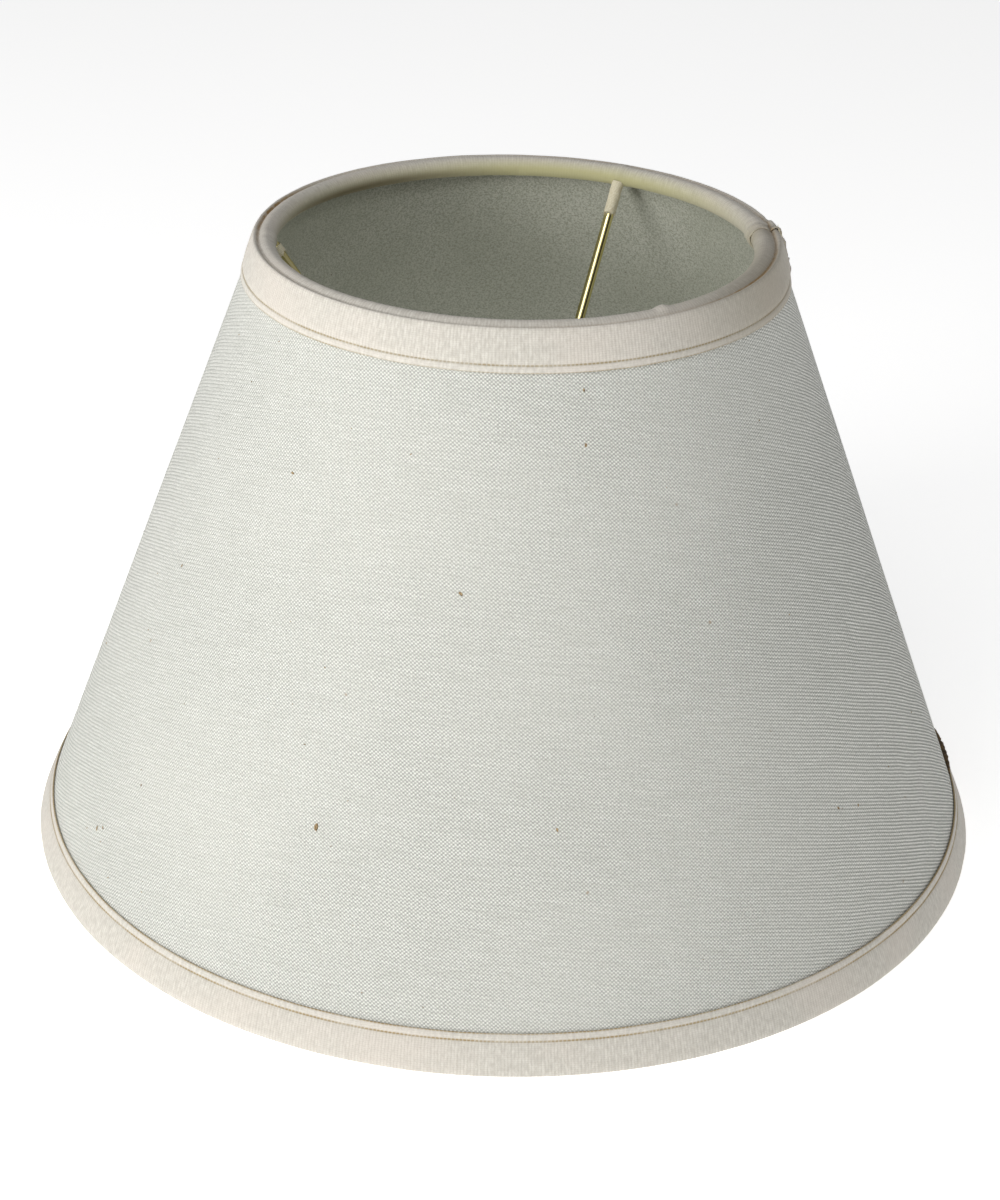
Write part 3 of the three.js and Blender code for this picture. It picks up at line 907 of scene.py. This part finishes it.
def glue_spots():
    """Glue squeezed out above the lower tape beside the seam, and at the upper tape's end."""
    chance = random.Random(11)
    bm = bmesh.new()
    wedge_start, wedge_turn, wedge_lumps, end_lumps = 72, 18, 34, 14
    for i in range(wedge_lumps):
        share = i / (wedge_lumps - 1)
        angle = wedge_start + share * wedge_turn
        swell = math.sin(share * math.pi) ** 0.6
        place = wall_point(angle, TAPE_REACH_MM + 0.2 + chance.uniform(0.2, 1.0) * swell,
                           1.0 + 0.5 * swell)
        sizes = (1.35, (0.35 + 1.2 * swell) * chance.uniform(0.8, 1.2), 0.3 + 0.9 * swell)
        lump(bm, place, sizes, wall_square(angle), chance.uniform(-0.2, 0.2), i * 2.3)
    for i in range(end_lumps):
        angle = TOP_TAPE_JOIN + chance.uniform(2.5, 6.5)
        place = wall_point(angle, SLOPE_MM + chance.uniform(-0.6, 0.9), chance.uniform(1.2, 2.4))
        lump(bm, place, (chance.uniform(0.4, 0.9), 0.35, 0.35), wall_square(angle),
             chance.uniform(0, math.pi), i * 1.7)
    piece_of("glue_spots", bm, glue_finish())


def frayed_threads(finish):
    """Loose threads at the folded end of the upper tape."""
    chance = random.Random(23)
    bm = bmesh.new()
    chart = bm.loops.layers.uv.new("flat")
    threads, bends = 44, 4
    for _ in range(threads):
        angle = TOP_TAPE_JOIN + chance.uniform(3.2, 6.2)
        along, out = SLOPE_MM + chance.uniform(-3.5, 1.0), 2.35
        climb, turn_by = chance.uniform(-0.2, 0.55), chance.uniform(-0.9, 0.9)
        last = wall_point(angle, along, out)
        for bend in range(bends):
            angle += turn_by * 0.35 + chance.uniform(-0.15, 0.15)
            along += climb + chance.uniform(-0.15, 0.15)
            out += chance.uniform(-0.05, 0.28)
            tip = wall_point(angle, along, out)
            thick = 0.14 - bend * 0.02
            thread(bm, last, tip, thick, thick - 0.02, sides=5)
            last = tip
    for face in bm.faces:
        for loop in face.loops:
            loop[chart].uv = (loop.vert.co.x, loop.vert.co.z)
    piece_of("frayed_threads", bm, finish)


# ---- camera, lights and floor ------------------------------------------------------------------

def camera():
    """A long lens from above the front, turned a little about its own axis."""
    data = bpy.data.cameras.new("camera")
    view = bpy.data.objects.new("camera", data)
    bpy.context.scene.collection.objects.link(view)
    spot, target = Vector((0, -0.7336, 0.4488)), Vector((0, 0, 0.098))
    facing = (target - spot).to_track_quat("-Z", "Y").to_matrix().to_4x4()
    roll = 0.023
    view.matrix_world = Matrix.Translation(spot) @ facing @ Matrix.Rotation(roll, 4, "Z")
    data.lens, data.sensor_width = 76.89, 36
    data.shift_x, data.shift_y = -0.0085, -0.0599
    bpy.context.scene.camera = view


def soft_light(name, place, target, size, power, colour=(1, 1, 1)):
    """A round softbox that faces a target."""
    data = bpy.data.lights.new(name, "AREA")
    data.shape, data.size, data.energy, data.color = "DISK", size, power, colour
    lamp = bpy.data.objects.new(name, data)
    lamp.location = place
    lamp.rotation_euler = (Vector(target) - Vector(place)).to_track_quat("-Z", "Y").to_euler()
    bpy.context.scene.collection.objects.link(lamp)


def studio():
    """Pale even light, three soft lamps, and a white paper floor that glows a little."""
    scene = bpy.context.scene
    scene.view_settings.view_transform = "Standard"
    scene.world = bpy.data.worlds.new("studio")
    scene.world.use_nodes = True
    sky = scene.world.node_tree.nodes["Background"]
    sky.inputs["Color"].default_value = (1, 1, 1, 1)
    sky.inputs["Strength"].default_value = 0.22
    soft_light("key", (-1.2, -1.0, 0.5), (0, 0, 0.1), 0.7, 13.5, (1, 0.99, 0.975))
    soft_light("fill", (1.3, -0.35, 0.15), (0, 0, 0.1), 0.6, 2.6)
    soft_light("softbox", (-0.4, -0.78, 1.15), (0, 0, 0.12), 1.0, 6.0)

    bm = bmesh.new()
    bmesh.ops.create_grid(bm, x_segments=8, y_segments=8, size=6)
    bmesh.ops.translate(bm, verts=bm.verts, vec=(0, 0, cad_low.z - 0.2 * MM))
    mesh = bpy.data.meshes.new("floor")
    bm.to_mesh(mesh)
    bm.free()
    floor = bpy.data.objects.new("floor", mesh)
    scene.collection.objects.link(floor)
    paper = Finish("white paper", Roughness=0.9, Emission_Color=(1, 1, 1, 1),
                   Emission_Strength=0.58)
    tone = paper.cloud(paper.place(), 3)
    paper.feed("Base Color", paper.blend(tone, paint(252, 252, 252), paint(255, 255, 255)))
    mesh.materials.append(paper.material)


# ---- the shade ---------------------------------------------------------------------------------

camera()
studio()
linen_cover()
stiff_liner()
top_tape()
bottom_tape()

stamped_brass = brass_finish("stamped brass", paint(222, 196, 118), tarnish=0.7, gloss=0.14,
                             dents_mm=0.02)
fibre = sleeve_finish()
for arm, arm_angle in enumerate(ARM_ANGLES):
    wire_brass = brass_finish(f"wire brass {arm + 1}", paint(244, 232, 170), tarnish=0.3,
                              gloss=0.08, dents_mm=0.001, arm_angle=arm_angle)
    arm_wire(arm, wire_brass)
    arm_sleeve(arm, fibre)
    braze(arm, stamped_brass)
slip_fitter(stamped_brass)
husks()
glue_spots()
frayed_threads(fibre)

ring_steel = steel_finish()
for node in ("top_ring", "bottom_ring"):
    for ring_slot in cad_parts[node].material_slots:
        ring_slot.material = ring_steel
